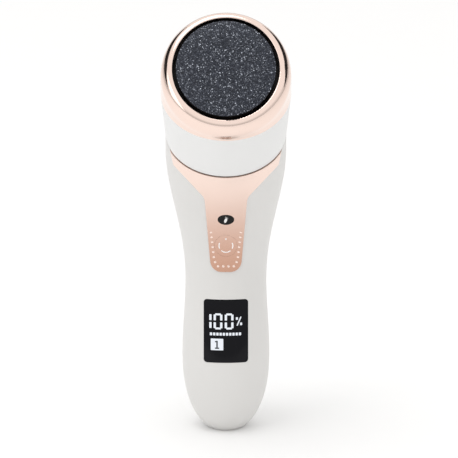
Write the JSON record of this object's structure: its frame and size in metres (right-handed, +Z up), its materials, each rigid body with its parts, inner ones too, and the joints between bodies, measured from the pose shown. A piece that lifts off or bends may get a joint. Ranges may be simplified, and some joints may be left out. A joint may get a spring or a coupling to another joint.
{
  "type": "electric callus remover",
  "caption": "Rechargeable handheld callus remover with a bent egg-footed handle, a charge display, a power button and a tilted head with a spinning abrasive disc.",
  "frame": {"origin": "middle of the flat foot that it stands on", "axes": "+Z up, -Y to the front, which the display and the disc face, +X to the right seen from the front"},
  "size_m": [0.0592, 0.0805, 0.2002],
  "materials": {
    "white_shell": "satin",
    "white_drum": "satin",
    "foot_rubber": "matte",
    "rose_gold": "polished",
    "black_gloss": "gloss",
    "circuit_board": "satin",
    "steel": "satin",
    "black_plastic": "matte",
    "cell": "satin",
    "black_rubber": "matte",
    "magnet": "matte",
    "brass": "satin",
    "abrasive": "matte"
  },
  "bodies": {
    "housing": {"handle_front_shell": "white_shell", "handle_back_shell": "white_shell", "head_drum": "white_drum", "base_cap": "foot_rubber", "trim_collar": "rose_gold", "guard_ring": "rose_gold", "badge_inlay": "black_gloss", "display_window": "black_gloss", "main_board": "circuit_board", "charge_board": "circuit_board", "board_screws": "steel", "chassis_screws": "steel", "neck_screws": "steel", "motor_screws": "steel", "inner_chassis": "black_plastic", "neck_frame": "black_plastic", "disc_well": "black_plastic", "battery_cell": "cell", "battery_tabs": "steel", "display_module": "black_plastic", "power_switch": "black_plastic", "charging_socket": "steel", "seam_gasket": "black_rubber", "shaft_seal": "black_rubber", "spindle_bearing": "steel", "motor_can": "steel", "motor_magnets": "magnet", "motor_end": "black_plastic", "motor_terminals": "brass"},
    "button": {"power_button": "rose_gold", "switch_plunger": "black_plastic"},
    "spindle": {"motor_rotor": "steel", "motor_shaft": "steel", "drive_hub": "black_plastic"},
    "disc": {"disc_plate": "black_plastic", "abrasive_pad": "abrasive"}
  },
  "joints": [
    {"name": "power_button_press", "type": "slide", "parent": "housing", "child": "button", "axis": [0, 0.989, -0.1478], "range_m": [0, 0.0006], "stiffness_N_per_m": 2500, "springref_m": -0.0001},
    {"name": "disc_spin", "type": "hinge", "parent": "housing", "child": "spindle", "pos_m": [0, -0.03106, 0.17887], "axis": [0, -0.8192, 0.5736], "continuous": true},
    {"name": "disc_release", "type": "slide", "parent": "spindle", "child": "disc", "axis": [0, -0.8192, 0.5736], "range_m": [0, 0.012]}
  ]
}
